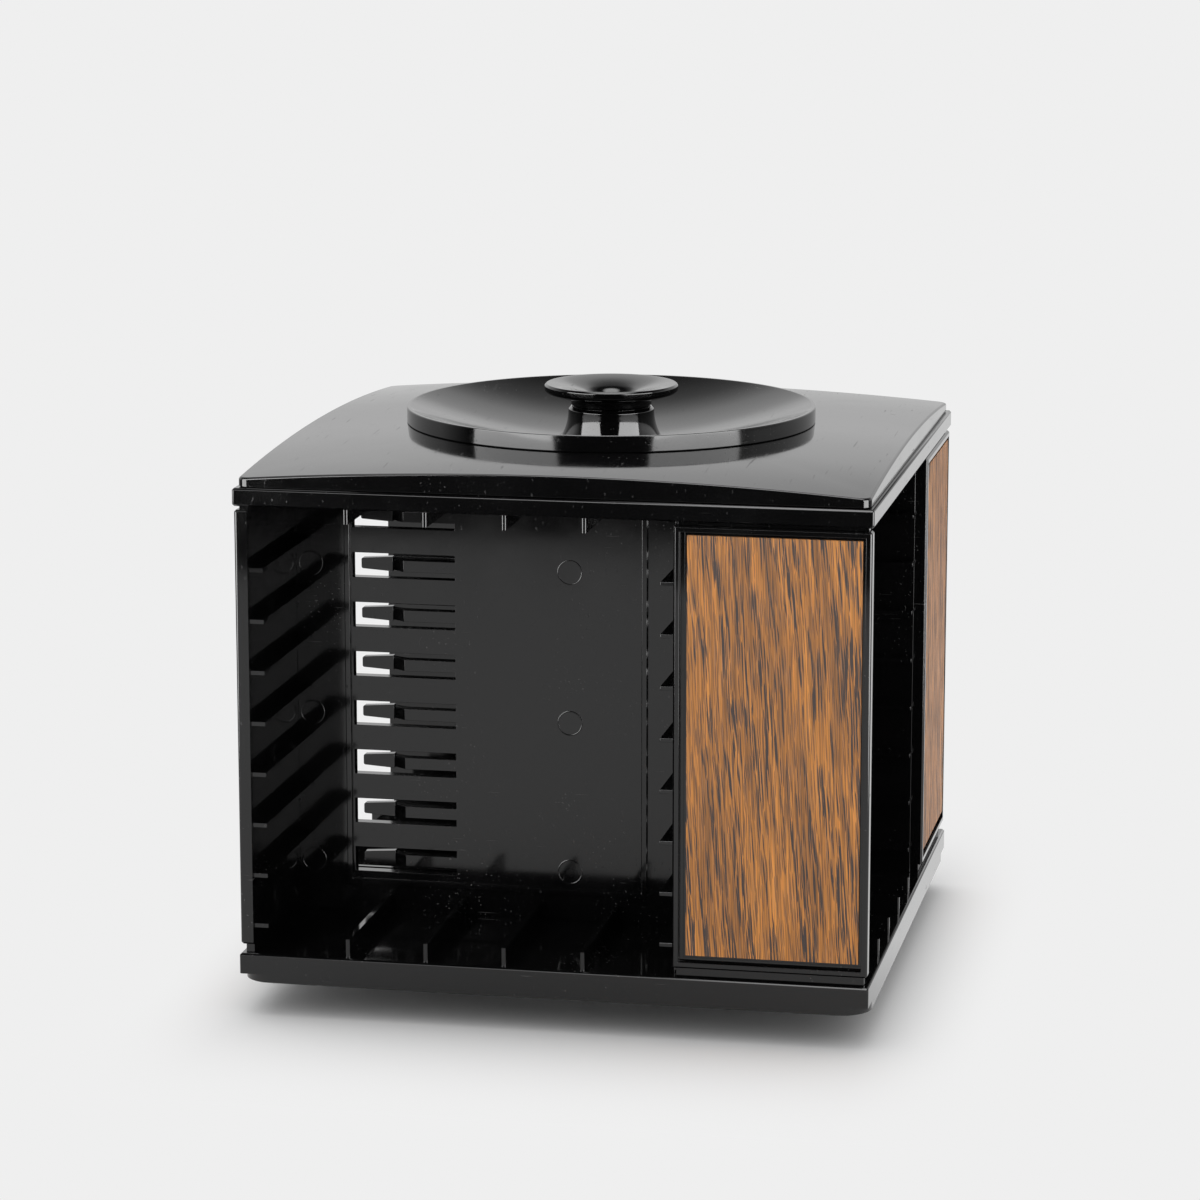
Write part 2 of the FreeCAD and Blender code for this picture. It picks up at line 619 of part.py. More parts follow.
def make_crown(label, half_width, corner, apex, sphere):
    """Square block with round corners under a shallow spherical crown."""
    body = new_body(label)
    pad(body, "block", square(body, "block_outline", half_width, "frame_top", corner),
        f"{apex} - frame_top")
    crown = new_sketch(body, "XZ_Plane", "crown_outline")
    reach = f"{half_width} * 1.5"
    fall = f"{apex} - {sphere} + sqrt(pow({sphere}; 2) - pow({reach}; 2))"
    outline(crown, (("0", f"{apex} + lid_crown"), ("0", apex), (reach, fall, sphere, "right"),
                    (reach, f"{apex} + lid_crown")))
    groove = body.newObject("PartDesign::Groove", f"{label}_groove")
    groove.Profile = crown
    groove.ReferenceAxis = (crown, ["V_Axis"])
    groove.Angle = 360
    body.Tip = groove
    doc.recompute()
    return body


def cylinder(name, radius, low, height):
    solid = doc.addObject("Part::Cylinder", name)
    bind(solid, "Radius", radius)
    bind(solid, "Height", height)
    bind(solid, "Placement.Base.z", low)
    return solid


def block(name, half_width, low, height):
    """Square block round the spin axis."""
    solid = doc.addObject("Part::Box", name)
    for side in ("Length", "Width"):
        bind(solid, side, f"2 * ({half_width})")
    bind(solid, "Height", height)
    for across in ("x", "y"):
        bind(solid, f"Placement.Base.{across}", f"-({half_width})")
    bind(solid, "Placement.Base.z", low)
    return solid


def cut(name, base, tool):
    result = doc.addObject("Part::Cut", name)
    result.Base = base
    result.Tool = tool
    return result


def fuse(name, shapes):
    result = doc.addObject("Part::MultiFuse", name)
    result.Shapes = shapes
    return result


def ring(name, outer, inner, low, height):
    return cut(name, cylinder(f"{name}_outer", outer, low, height),
               cylinder(f"{name}_inner", inner, low, height))


# Lid: thin domed cover with a round opening for the dish, a lip that locates it in the top frame
# and a collar that carries the dish.
def make_lid():
    outer = make_crown("lid_outer", "lid_half", "lid_corner", "lid_apex", "lid_sphere")
    inner = make_crown("lid_inner_form", "lid_inner", "lid_corner_inside",
                       "(lid_apex - lid_thickness)", "(lid_sphere - lid_thickness)")
    shell = cut("lid_shell", outer, inner)
    lip = cut("lid_lip_ring", block("lip_block", "lip_outer", "frame_top - lid_lip_depth",
                                    "lid_lip_depth + lid_corner_inside / 2"),
              block("lip_hole", "lip_inner", "frame_top - lid_lip_depth",
                    "lid_lip_depth + lid_corner_inside / 2"))
    collar = cylinder("lid_collar", "lid_opening + lid_collar_wall", "collar_low",
                      "collar_high - collar_low")
    whole = fuse("lid_whole", [shell, lip, collar])
    opening = cylinder("lid_opening_hole", "lid_opening", "frame_deck", "dish_top - frame_deck")
    lid = cut("lid", whole, opening)
    lid.Label = "lid"
    return lid


# Top dish: a round bowl that seats in the lid, with a flared hub under the knob.
def make_dish():
    body = new_body("top_dish")
    revolve(body, "turned", (
        ("bolt_hole", "frame_top"), ("under_start", "frame_top"),
        ("ring_inner", "under_high", "under_sphere", "left"),
        ("ring_inner", "ring_low"), ("dish_ring", "ring_low"), ("dish_ring", "dish_under"),
        ("dish_radius", "dish_under"), ("dish_radius", "dish_top - edge_break"),
        ("dish_radius - edge_break", "dish_top"), ("dish_lip", "dish_top"),
        ("dish_bowl_radius", "bowl_low", "bowl_sphere", "right"),
        ("hub_top_radius", "hub_level - hub_chamfer", "hub_flare", "right"),
        ("hub_top_radius - hub_chamfer", "hub_level"), ("stem_bore", "hub_level"),
        ("stem_bore", "stem_end"), ("bolt_hole", "stem_end")))
    return body


# Knob: a saucer on a short collar, with a funnel in its middle and a bore for the insert.
def make_knob():
    body = new_body("knob")
    revolve(body, "turned", (
        ("insert_radius", "stem_end"), ("knob_stem", "stem_end"),
        ("knob_stem", "collar_level - knob_collar_height"),
        ("collar_radius", "collar_level - knob_collar_height"),
        ("collar_radius", "collar_level"), ("rim_inner", "rim_under"),
        ("knob_radius", "rim_under + edge_break"), ("knob_radius", "knob_level - edge_break"),
        ("rim_inner", "knob_level"), ("funnel_radius", "funnel_rim", "saucer_round", "left"),
        ("well_radius", "well_rim", "funnel_round", "left"),
        ("0", "well_rim - well_depth", "well_round", "right"),
        ("0", "insert_end"), ("insert_radius", "insert_end")))
    return body


# Foot: a shallow conical shell about as wide as the dish, with a hub bored for the spigot and
# four bosses for rubber pads.
def make_foot():
    body = new_body("base_foot")
    revolve(body, "turned", (
        ("foot_hub_radius", "foot_crown"), ("foot_radius", "foot_rim_top"),
        ("foot_radius", "foot_rim_level"), ("foot_inner", "foot_rim_level"),
        ("foot_inner", "foot_rim_top - foot_wall"), ("foot_hub_radius", "foot_crown - foot_wall"),
        ("foot_hub_radius", "hub_under"), ("spigot_radius + pivot_play", "hub_under"),
        ("spigot_radius + pivot_play", "foot_hub_top"), ("foot_hub_radius", "foot_hub_top")))
    boss = new_sketch(body, "XY_Plane", "boss_outline", "pad_thickness")
    circle(boss, "pad_radius + pad_boss", "pad_circle")
    boss = pad(body, "boss", boss, "foot_rim_top - pad_thickness")
    on_all_sides(body, "bosses", [boss])
    return body


def make_foot_pads():
    pads = []
    for side, turn in SIDES:
        rubber = cylinder(f"pad_{side}", "pad_radius", "0", "pad_thickness")
        bind(rubber, "Placement.Base.x", f"pad_circle * cos({turn} deg)")
        bind(rubber, "Placement.Base.y", f"pad_circle * sin({turn} deg)")
        pads.append(rubber)
    group = doc.addObject("Part::Compound", "foot_pads")
    group.Links = pads
    group.Label = "foot_pads"
    return group


def make_bolt():
    body = new_body("tie_bolt")
    head = new_sketch(body, "XY_Plane", "head_outline", "head_clearance")
    corner = "bolt_head_width / sqrt(3)"
    outline(head, [(f"{corner} * cos({60 * step} deg)", f"{corner} * sin({60 * step} deg)")
                   for step in range(6)])
    pad(body, "head", head, "bolt_head_height")
    pad(body, "shank", disc(body, "shank_outline", "bolt_radius", "head_clearance"),
        "bolt_end - head_clearance")
    return body


def make_all():
    parts = [make_foot(), make_foot_pads(), make_tray(), make_top_frame(), make_lid(),
             make_dish(), make_knob(), make_bolt(),
             ring("retaining_washer", "washer_radius", "bolt_hole",
                  "spigot_end - washer_thickness", "washer_thickness"),
             ring("thrust_washer", "thrust_radius", "spigot_radius + 2 * bolt_play",
                  "foot_hub_top", "thrust_thickness"),
             ring("knob_insert", "insert_radius - thread_play", "bolt_radius + thread_play",
                  "stem_end", "insert_length - thread_play")]
    for side, turn in SIDES:
        parts += [make_wall(side, turn), make_panel(side, turn), make_inlay(side, turn)]
    return parts


subparts = make_all()
doc.recompute()
for item in doc.Objects:
    if "Invalid" in item.State or "Error" in item.State:
        raise RuntimeError(f"{item.Name} failed: {item.State}")
for item in subparts:
    if item.Shape.isNull() or not item.Shape.isValid():
        raise RuntimeError(f"{item.Label} has no valid shape")

os.makedirs("parts", exist_ok=True)
for item in subparts:
    item.Shape.exportStep(f"parts/{item.Label}.step")
    print(item.Label, len(item.Shape.Solids), round(item.Shape.Volume, 1))
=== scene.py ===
import json
import math

import bmesh
import bpy
from mathutils import Matrix, Vector


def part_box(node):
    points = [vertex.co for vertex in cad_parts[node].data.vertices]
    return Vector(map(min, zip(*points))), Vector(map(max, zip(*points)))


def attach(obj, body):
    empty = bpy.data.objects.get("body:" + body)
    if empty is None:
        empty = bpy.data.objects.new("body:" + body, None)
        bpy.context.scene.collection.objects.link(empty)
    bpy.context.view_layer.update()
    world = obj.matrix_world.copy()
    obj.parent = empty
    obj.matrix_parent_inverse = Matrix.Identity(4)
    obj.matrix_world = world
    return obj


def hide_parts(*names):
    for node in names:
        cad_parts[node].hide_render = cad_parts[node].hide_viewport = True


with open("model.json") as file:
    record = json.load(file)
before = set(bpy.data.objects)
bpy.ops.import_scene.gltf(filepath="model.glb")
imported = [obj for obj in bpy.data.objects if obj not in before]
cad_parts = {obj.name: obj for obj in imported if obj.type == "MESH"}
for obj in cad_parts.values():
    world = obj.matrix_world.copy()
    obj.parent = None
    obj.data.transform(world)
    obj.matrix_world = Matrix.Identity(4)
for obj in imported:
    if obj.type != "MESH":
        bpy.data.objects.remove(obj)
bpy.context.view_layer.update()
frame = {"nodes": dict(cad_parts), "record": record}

# Desktop cassette carousel in black gloss polystyrene with wood-grain sheets. Metres, +Z up,
# the table at z = 0, the spin axis on Z and the front bay open towards -Y.

MM = 0.001
SIDES = ("front", "right", "back", "left")
BODY_OF = {node: body for body, nodes in frame["record"]["behaviour"]["bodies"].items()
           for node in nodes}
SLOT_OF = {part["node"]: part["material_slot"] for part in frame["record"]["subparts"]}

# levels and reaches read from the frame
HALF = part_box("bottom_tray")[1].x
FRAME_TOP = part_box("top_frame")[1].z
BEAD_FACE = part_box("wall_right")[1].x
BEAD_HEIGHT = 0.8 * MM
BACK_WALL_FACE = BEAD_FACE - BEAD_HEIGHT


# ---------------------------------------------------------------- materials

def new_material(name):
    material = bpy.data.materials.new(name)
    material.use_nodes = True
    return material, material.node_tree, material.node_tree.nodes["Principled BSDF"]


def add_node(tree, kind, **values):
    """A node of this kind, with sockets set by name and other settings by attribute."""
    node = tree.nodes.new(kind)
    for name, value in values.items():
        socket = node.inputs.get(name.replace("_", " "))
        if socket is None:
            setattr(node, name, value)
        else:
            socket.default_value = value
    return node


def object_coordinates(tree, scale=(1, 1, 1), turn=(0, 0, 0)):
    coordinates = add_node(tree, "ShaderNodeTexCoord")
    mapping = add_node(tree, "ShaderNodeMapping", Scale=scale, Rotation=turn)
    tree.links.new(coordinates.outputs["Object"], mapping.inputs["Vector"])
    return mapping.outputs["Vector"]


def noise(tree, vector, scale, detail):
    node = add_node(tree, "ShaderNodeTexNoise", Scale=scale, Detail=detail)
    tree.links.new(vector, node.inputs["Vector"])
    return node.outputs["Fac"]


def ramp(tree, factor, stops):
    """Colour ramp through (position, colour) stops."""
    node = add_node(tree, "ShaderNodeValToRGB")
    elements = node.color_ramp.elements
    first, *middle, last = stops
    for element, (position, colour) in zip(elements, (first, last)):
        element.position = position
        element.color = (*colour, 1.0)
    for position, colour in middle:
        elements.new(position).color = (*colour, 1.0)
    tree.links.new(factor, node.inputs["Fac"])
    return node.outputs["Color"]


def grey(level):
    return (level, level, level)


def mix(tree, factor, first, second, blend="MIX"):
    node = add_node(tree, "ShaderNodeMix", data_type="RGBA", blend_type=blend)
    for socket, source in ((node.inputs[0], factor), (node.inputs[6], first),
                           (node.inputs[7], second)):
        if isinstance(source, bpy.types.NodeSocket):
            tree.links.new(source, socket)
        elif isinstance(source, tuple):
            socket.default_value = (*source, 1.0)
        else:
            socket.default_value = source
    return node.outputs[2]


def mix_shaders(tree, factor, first, second):
    node = add_node(tree, "ShaderNodeMixShader")
    for socket, source in zip(node.inputs, (factor, first, second)):
        tree.links.new(source, socket)
    return node.outputs["Shader"]


def span(tree, value, low, high, to_low=0.0, to_high=1.0):
    """Map value from low..high to to_low..to_high, held at both ends."""
    node = add_node(tree, "ShaderNodeMapRange", clamp=True)
    node.inputs["From Min"].default_value = low
    node.inputs["From Max"].default_value = high
    node.inputs["To Min"].default_value = to_low
    node.inputs["To Max"].default_value = to_high
    tree.links.new(value, node.inputs["Value"])
    return node.outputs["Result"]


def maths(tree, operation, first, second):
    node = add_node(tree, "ShaderNodeMath", operation=operation)
    for socket, source in zip(node.inputs, (first, second)):
        if isinstance(source, bpy.types.NodeSocket):
            tree.links.new(source, socket)
        else:
            socket.default_value = source
    return node.outputs["Value"]


def bump(tree, shader, height, strength, distance):
    node = add_node(tree, "ShaderNodeBump", Strength=strength, Distance=distance)
    tree.links.new(height, node.inputs["Height"])
    tree.links.new(node.outputs["Normal"], shader.inputs["Normal"])


def black_polystyrene():
    """Glossy black moulding with flow waves, hairline scratches and a little dust."""
    plastic, dust_grey = (0.0034, 0.0034, 0.0036), (0.12, 0.118, 0.115)
    material, tree, shader = new_material("black_polystyrene")
    place = object_coordinates(tree)
    fine = span(tree, noise(tree, place, 1700.0, 1.0), 0.725, 0.765)
    coarse = span(tree, noise(tree, place, 700.0, 2.0), 0.755, 0.785)
    patch = span(tree, noise(tree, place, 45.0, 3.0), 0.48, 0.72)
    hair_place = object_coordinates(tree, (95, 95, 2600), (0.06, 0.10, 0.4))
    hair = span(tree, noise(tree, hair_place, 1.0, 1.0), 0.752, 0.785, 0.0, 0.7)
    specks = maths(tree, "MAXIMUM", maths(tree, "MAXIMUM", fine, coarse), hair)
    dust = maths(tree, "MULTIPLY", specks, patch)
    tree.links.new(mix(tree, dust, plastic, dust_grey), shader.inputs["Base Color"])
    haze = span(tree, noise(tree, place, 60.0, 4.0), 0.35, 0.8, 0.06, 0.13)
    scratch_place = object_coordinates(tree, (1400, 90, 700), (0.5, 0.3, 0.9))
    scratches = span(tree, noise(tree, scratch_place, 1.0, 1.0), 0.70, 0.76, 0.0, 0.16)
    gloss = maths(tree, "ADD", maths(tree, "ADD", haze, scratches),
                  maths(tree, "MULTIPLY", dust, 0.4))
    tree.links.new(gloss, shader.inputs["Roughness"])
    shader.inputs["IOR"].default_value = 1.52
    bump(tree, shader, noise(tree, place, 42.0, 1.0), 0.25, 0.12 * MM)
    return material


def wood_grain():
    """Oak: orange ground with browner columns, clusters of dark slanting pores, grey hairlines."""
    ground = ((0.10, (0.270, 0.106, 0.022)), (0.36, (0.385, 0.148, 0.028)),
              (0.60, (0.520, 0.196, 0.032)), (0.90, (0.660, 0.255, 0.042)))
    hairline_grey, pore_black = (0.29, 0.205, 0.165), (0.024, 0.017, 0.017)
    per_mm = 1000.0
    material, tree, shader = new_material("wood_grain")
    parts = add_node(tree, "ShaderNodeSeparateXYZ")
    tree.links.new(object_coordinates(tree, (per_mm, per_mm, per_mm)), parts.inputs["Vector"])
    across = maths(tree, "ADD", parts.outputs["X"], parts.outputs["Y"])
    up = parts.outputs["Z"]

    def plane(sideways, across_scale, up_scale):
        spread = add_node(tree, "ShaderNodeCombineXYZ")
        tree.links.new(maths(tree, "MULTIPLY", sideways, across_scale), spread.inputs["X"])
        tree.links.new(maths(tree, "MULTIPLY", up, up_scale), spread.inputs["Y"])
        return spread.outputs["Vector"]

    def streaks(sideways, across_scale, up_scale, detail, low, high, to_low=0.0, to_high=1.0):
        """Noise drawn out along the grain, in millimetres."""
        node = add_node(tree, "ShaderNodeTexNoise", noise_dimensions="2D", Scale=1.0,
                        Detail=detail, Roughness=0.6)
        tree.links.new(plane(sideways, across_scale, up_scale), node.inputs["Vector"])
        return span(tree, node.outputs["Fac"], low, high, to_low, to_high)

    def dashes(sideways, across_scale, up_scale, full, edge):
        """Pores: one long lens in each cell, dark out to full and gone at edge."""
        node = add_node(tree, "ShaderNodeTexVoronoi", voronoi_dimensions="2D", Scale=1.0,
                        Randomness=1.0)
        tree.links.new(plane(sideways, across_scale, up_scale), node.inputs["Vector"])
        return span(tree, node.outputs["Distance"], full, edge, 1.0, 0.0)

    # four ways across the sheet, which the grain follows
    sway = streaks(across, 0.05, 0.014, 1.0, 0.0, 1.0, -2.6, 2.6)
    ripple = streaks(across, 0.9, 0.06, 1.0, 0.0, 1.0, -0.22, 0.22)
    fall = maths(tree, "ADD", maths(tree, "MULTIPLY", up, 0.115), sway)
    slanted = maths(tree, "ADD", across, fall)
    upright = maths(tree, "ADD", maths(tree, "ADD", across, maths(tree, "MULTIPLY", up, 0.035)),
                    ripple)
    leaning = maths(tree, "ADD", upright, maths(tree, "MULTIPLY", fall, 0.22))

    fine_column = streaks(upright, 0.95, 0.018, 3.0, 0.24, 0.72)
    broad_column = streaks(slanted, 0.26, 0.014, 1.0, 0.20, 0.66)
    column = maths(tree, "MULTIPLY", maths(tree, "ADD", fine_column, broad_column), 0.5)
    colour = ramp(tree, column, ground)
    fibre = streaks(upright, 3.2, 0.040, 3.0, 0.40, 0.60, 0.66, 1.28)
    shade = add_node(tree, "ShaderNodeCombineColor")
    for socket in shade.inputs[:3]:
        tree.links.new(fibre, socket)
    colour = mix(tree, 1.0, colour, shade.outputs["Color"], "MULTIPLY")
    hairline = streaks(upright, 7.5, 0.07, 1.0, 0.61, 0.72, 0.0, 0.40)
    colour = mix(tree, hairline, colour, hairline_grey)
    band = streaks(slanted, 0.50, 0.018, 2.0, 0.47, 0.54)
    cluster = dashes(leaning, 2.2, 0.055, 0.34, 0.37)
    single = dashes(leaning, 2.6, 0.080, 0.25, 0.28)
    pores = maths(tree, "MAXIMUM", maths(tree, "MULTIPLY", cluster, band),
                  maths(tree, "MULTIPLY", single, maths(tree, "MAXIMUM", band, 0.65)))
    pores = maths(tree, "MULTIPLY", pores, 0.97)
    colour = mix(tree, pores, colour, pore_black)
    tree.links.new(colour, shader.inputs["Base Color"])
    tree.links.new(span(tree, pores, 0.0, 1.0, 0.45, 0.65), shader.inputs["Roughness"])
    shader.inputs["IOR"].default_value = 1.38
    bump(tree, shader, maths(tree, "SUBTRACT", 1.0, pores), 0.5, 0.04 * MM)
    return material


def rubber():
    material, tree, shader = new_material("foot_rubber")
    grain = noise(tree, object_coordinates(tree), 900.0, 3.0)
    tree.links.new(ramp(tree, grain, ((0.3, grey(0.018)), (0.7, grey(0.035)))),
                   shader.inputs["Base Color"])
    shader.inputs["Roughness"].default_value = 0.8
    bump(tree, shader, grain, 0.3, 0.05 * MM)
    return material


def metal(name, light, dark, rough):
    """Turned or plated metal with fine tool marks round the axis."""
    material, tree, shader = new_material(name)
    marks = noise(tree, object_coordinates(tree, (1, 1, 8)), 700.0, 2.0)
    tree.links.new(ramp(tree, marks, ((0.3, dark), (0.7, light))), shader.inputs["Base Color"])
    tree.links.new(span(tree, marks, 0.3, 0.7, rough, rough + 0.12), shader.inputs["Roughness"])
    shader.inputs["Metallic"].default_value = 1.0
    return material


def nylon():
    material, tree, shader = new_material("nylon")
    cloud = noise(tree, object_coordinates(tree), 120.0, 3.0)
    tree.links.new(ramp(tree, cloud, ((0.3, (0.72, 0.70, 0.64)), (0.7, (0.82, 0.80, 0.75)))),
                   shader.inputs["Base Color"])
    shader.inputs["Roughness"].default_value = 0.45
    return material


MATERIALS = {
    "black_polystyrene": black_polystyrene(),
    "wood_grain": wood_grain(),
    "foot_rubber": rubber(),
    "zinc_steel": metal("zinc_steel", (0.60, 0.61, 0.63), (0.48, 0.49, 0.51), 0.28),
    "nylon": nylon(),
    "brass": metal("brass", (0.68, 0.48, 0.17), (0.55, 0.37, 0.11), 0.25),
}


# ---------------------------------------------------------------- pieces

def finish_piece(piece, node, replaces=True):
    """Give a piece the material of the node's slot and the node's body, and with replaces set hide
    the node.
    """
    piece.data.materials.clear()
    piece.data.materials.append(MATERIALS[SLOT_OF[node]])
    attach(piece, BODY_OF[node])
    if replaces:
        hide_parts(node)


def new_piece(name, bm):
    bmesh.ops.recalc_face_normals(bm, faces=bm.faces)
    mesh = bpy.data.meshes.new(name)
    bm.to_mesh(mesh)
    bm.free()
    piece = bpy.data.objects.new(name, mesh)
    bpy.context.scene.collection.objects.link(piece)
    mesh.shade_smooth()
    return piece


def even_shading(piece):
    modifier = piece.modifiers.new("even_shading", "WEIGHTED_NORMAL")
    modifier.mode = "FACE_AREA"
    modifier.weight = 100
    modifier.thresh = 1e-7


def reach_of(vert):
    """Distance from the spin axis, measured square."""
    return max(abs(vert.co.x), abs(vert.co.y))


def round_edges(bm, width, wanted):
    """Round off the edges whose two ends pass the test."""
    edges = [edge for edge in bm.edges if wanted(*edge.verts) and len(edge.link_faces) == 2]
    bmesh.ops.bevel(bm, geom=edges, offset=width, offset_type="OFFSET", segments=4, profile=0.5,
                    affect="EDGES", clamp_overlap=True)


def rib_end(reach, height):
    """Test for the upright end edges of dividers."""
    def wanted(first, second):
        rise = abs(first.co.z - second.co.z)
        return (abs(rise - height) < 0.1 * MM and abs(reach_of(first) - reach) < 0.05 * MM
                and abs(reach_of(second) - reach) < 0.05 * MM
                and (first.co.xy - second.co.xy).length < 0.01 * MM)
    return wanted


def bead_edge(turn):
    """Test for the outer edges of the bead on a back wall."""
    back = Matrix.Rotation(-turn, 3, "Z")

    def wanted(first, second):
        return all(abs((back @ vert.co).y + BEAD_FACE) < 0.02 * MM for vert in (first, second))
    return wanted


def softened_copy(node, width, segments=2, rounding=None, round_width=0.0):
    """The node's own shape with its sharp edges rounded off."""
    bm = bmesh.new()
    bm.from_mesh(frame["nodes"][node].data)
    bmesh.ops.remove_doubles(bm, verts=bm.verts, dist=0.002 * MM)
    bmesh.ops.dissolve_limit(bm, angle_limit=math.radians(0.5), verts=bm.verts, edges=bm.edges)
    if rounding:
        round_edges(bm, round_width, rounding)
    piece = new_piece(f"{node}_moulding", bm)
    modifier = piece.modifiers.new("soft_edges", "BEVEL")
    modifier.width = width
    modifier.segments = segments
    modifier.limit_method = "ANGLE"
    modifier.angle_limit = math.radians(25)
    modifier.use_clamp_overlap = True
    even_shading(piece)
    finish_piece(piece, node)


def arc(start, end, radius, side, steps):
    """Points after start up to end on an arc whose centre is on this side of the way."""
    start, end = Vector(start), Vector(end)
    chord = end - start
    across = Vector((-chord.y, chord.x)).normalized()
    height = math.sqrt(radius ** 2 - (chord.length / 2) ** 2)
    centre = (start + end) / 2 + (across if side == "left" else -across) * height
    begin = math.atan2(start.y - centre.y, start.x - centre.x)
    turn = 2 * math.asin(chord.length / 2 / radius) * (1 if side == "left" else -1)
    return [(centre.x + radius * math.cos(begin + turn * step / steps),
             centre.y + radius * math.sin(begin + turn * step / steps))
            for step in range(1, steps + 1)]


ON_AXIS = 1e-9   # a radius below this lies on the spin axis


def rounded(outline, radius):
    """A closed outline with every sharp corner off the axis rounded off."""
    least_turn, longest_share, steps = math.radians(20), 0.4, 3
    points = []
    for index, corner in enumerate(outline):
        here = Vector(corner)
        before, after = Vector(outline[index - 1]), Vector(outline[(index + 1) % len(outline)])
        arriving, leaving = here - before, after - here
        turn = arriving.angle_signed(leaving)
        if abs(turn) < least_turn or here.x < ON_AXIS:
            points.append(corner)
            continue
        reach = min(radius * math.tan(abs(turn) / 2), longest_share * arriving.length,
                    longest_share * leaving.length)
        first, last = here - arriving.normalized() * reach, here + leaving.normalized() * reach
        for step in range(steps + 1):
            share = step / steps
            bend = first.lerp(here, share).lerp(here.lerp(last, share), share)
            points.append(tuple(bend))
    return points


def lathe(name, outline, steps):
    """Turn a closed (radius, height) outline round the spin axis."""
    bm = bmesh.new()
    rings = []
    for radius, height in outline:
        if radius < ON_AXIS:
            rings.append([bm.verts.new((0, 0, height))])
            continue
        rings.append([bm.verts.new((radius * math.cos(2 * math.pi * step / steps),
                                    radius * math.sin(2 * math.pi * step / steps), height))
                      for step in range(steps)])
    for index, ring in enumerate(rings):
        after = rings[(index + 1) % len(rings)]
        for step in range(steps):
            corners = [ring[step % len(ring)], ring[(step + 1) % len(ring)],
                       after[(step + 1) % len(after)], after[step % len(after)]]
            unique = list(dict.fromkeys(corners))
            if len(unique) > 2:
                bm.faces.new(unique)
    piece = new_piece(name, bm)
    even_shading(piece)
    return piece


# sizes that the lid, the dish and the knob share
LID_APEX = FRAME_TOP + 8.3 * MM
LID_SPHERE = 950.0 * MM
DISH_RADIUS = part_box("top_dish")[1].x
DISH_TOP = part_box("top_dish")[1].z
DISH_SEAT = DISH_RADIUS - 1.8 * MM
DISH_WALL = 1.8 * MM
BOWL_START = 13.3 * MM
BOWL_LOW = FRAME_TOP + DISH_WALL
HUB_RADIUS = 10.8 * MM
HUB_TOP = FRAME_TOP + 10.6 * MM
HUB_CHAMFER = 0.7 * MM


def lid_level(radius):
    """Height of the lid's crown at this distance from the axis."""
    return LID_APEX - LID_SPHERE + math.sqrt(LID_SPHERE ** 2 - radius ** 2)


def make_dish():
    """Round dish with a spherical bowl and a flared hub, seated in the lid's opening."""
    bolt_hole = 3.15 * MM
    stem_hole, stem_floor = 9.45 * MM, HUB_TOP - 3.2 * MM
    hub_flare = 13.2 * MM
    lip = DISH_RADIUS - 0.8 * MM
    ring_out = DISH_SEAT - 0.3 * MM
    ring_in = ring_out - DISH_WALL
    seat_level = lid_level(DISH_SEAT)
    ring_end = seat_level - 2.4 * MM
    rise = DISH_TOP - BOWL_LOW
    centre = (lip ** 2 - BOWL_START ** 2 + rise ** 2) / (2 * rise)
    sphere = math.hypot(BOWL_START, centre)
    under = sphere + DISH_WALL
    under_start = math.sqrt(under ** 2 - (centre + DISH_WALL) ** 2)
    under_high = BOWL_LOW + centre - math.sqrt(under ** 2 - ring_in ** 2)
    hub_side = (HUB_RADIUS, HUB_TOP - HUB_CHAMFER)

    outline = [(bolt_hole, FRAME_TOP), (under_start, FRAME_TOP)]
    outline += arc((under_start, FRAME_TOP), (ring_in, under_high), under, "left", 12)
    outline += [(ring_in, ring_end), (ring_out, ring_end), (ring_out, seat_level),
                (DISH_RADIUS, seat_level), (DISH_RADIUS, DISH_TOP), (lip, DISH_TOP)]
    outline += arc((lip, DISH_TOP), (BOWL_START, BOWL_LOW), sphere, "right", 28)
    outline += arc((BOWL_START, BOWL_LOW), hub_side, hub_flare, "right", 14)
    outline += [(HUB_RADIUS - HUB_CHAMFER, HUB_TOP), (stem_hole, HUB_TOP),
                (stem_hole, stem_floor), (bolt_hole, stem_floor)]
    finish_piece(lathe("dish_moulding", rounded(outline, 0.25 * MM), 192), "top_dish")


def make_knob():
    """Saucer-shaped finger knob on a collar, with a hollow in its middle."""
    low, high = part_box("knob")
    low, radius, top = low.z, high.x, high.z
    insert_bore, insert_end = 4.6 * MM, low + 5.2 * MM
    stem = 9.4 * MM
    collar = FRAME_TOP + 12.6 * MM
    collar_low = collar - 1.7 * MM
    neck = HUB_RADIUS - HUB_CHAMFER
    edge = 0.5 * MM
    rim_in, rim_under = radius - edge, top - 2.2 * MM
    saucer_end = (7.2 * MM, top - 1.85 * MM)
    hollow_end = (5.0 * MM, top - 3.2 * MM)

    outline = [(insert_bore, low), (stem, low), (stem, collar_low), (neck, collar_low),
               (neck, collar)]
    outline += arc((neck, collar), (rim_in, rim_under), 16 * MM, "left", 8)
    outline += [(radius, rim_under + edge), (radius, top - edge), (rim_in, top)]
    outline += arc((rim_in, top), saucer_end, 43.8 * MM, "left", 14)
    outline += arc(saucer_end, hollow_end, 5.53 * MM, "left", 8)
    outline += [(0.0, hollow_end[1]), (0.0, insert_end), (insert_bore, insert_end)]
    finish_piece(lathe("knob_moulding", rounded(outline, 0.3 * MM), 128), "knob")


def rounded_square(half, corner):
    """Points round a square with round corners, anticlockwise."""
    straight_steps, corner_steps = 24, 8
    points = []
    inner = half - corner
    for side in range(4):
        turn = math.pi / 2 * side
        local = [(half, -inner + 2 * inner * step / straight_steps)
                 for step in range(straight_steps)]
        local += [(inner + corner * math.cos(math.pi / 2 * step / corner_steps),
                   inner + corner * math.sin(math.pi / 2 * step / corner_steps))
                  for step in range(corner_steps)]
        points += [(x * math.cos(turn) - y * math.sin(turn),
                    x * math.sin(turn) + y * math.cos(turn)) for x, y in local]
    return points


